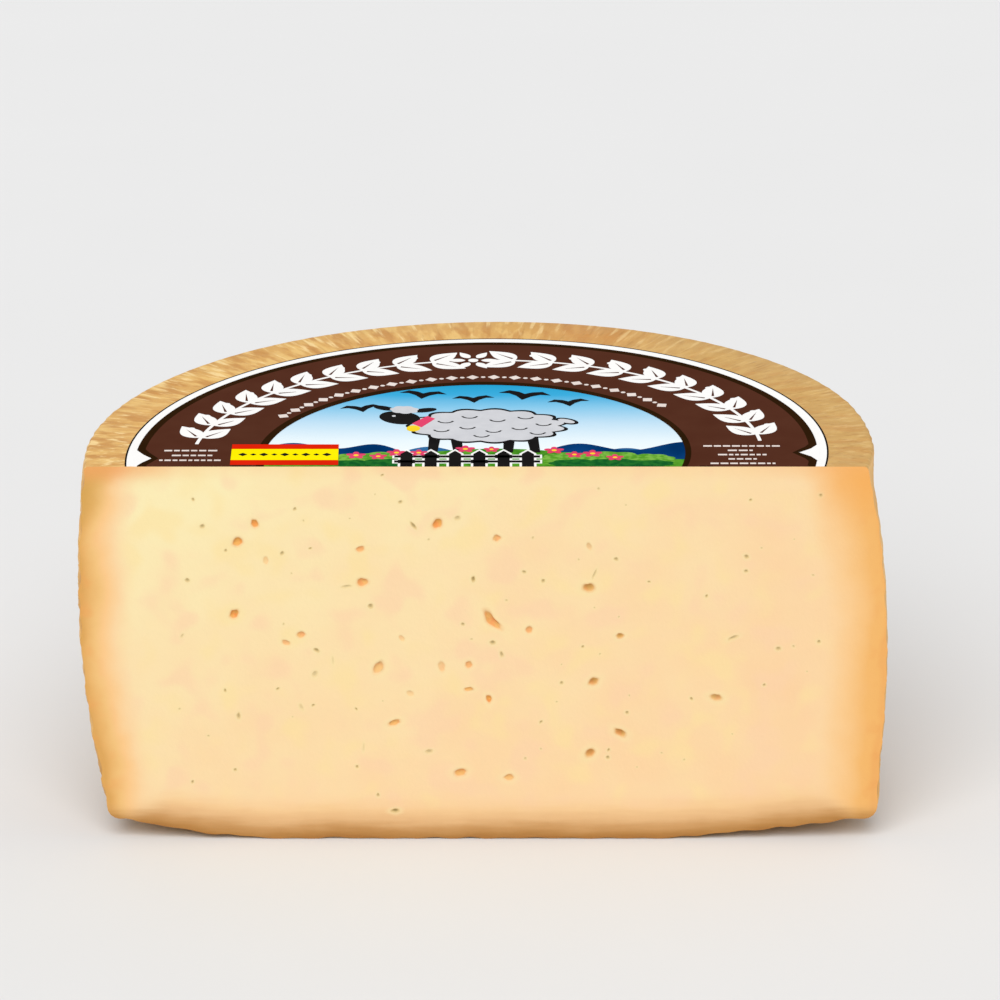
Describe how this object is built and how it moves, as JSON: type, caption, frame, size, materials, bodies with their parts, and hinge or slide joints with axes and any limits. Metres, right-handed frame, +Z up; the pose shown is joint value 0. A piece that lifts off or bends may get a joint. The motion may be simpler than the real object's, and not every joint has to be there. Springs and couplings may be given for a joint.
{
  "type": "half cheese wheel",
  "caption": "Half wheel of a pressed sheep's milk cheese: a flat cut face with small eyes, a rounded rind with a plaited relief, and a round paper label on top.",
  "frame": {"origin": "middle of the bounding box, on the surface that the half wheel stands on", "axes": "+X to the right along the cut face, -Y out of the cut face, +Z up through the label"},
  "size_m": [0.2026, 0.114, 0.0998],
  "materials": {
    "paste_and_rind": "satin",
    "label_paper": "satin"
  },
  "bodies": {
    "root": {"half_cheese": "paste_and_rind", "top_label": "label_paper"}
  },
  "joints": []
}
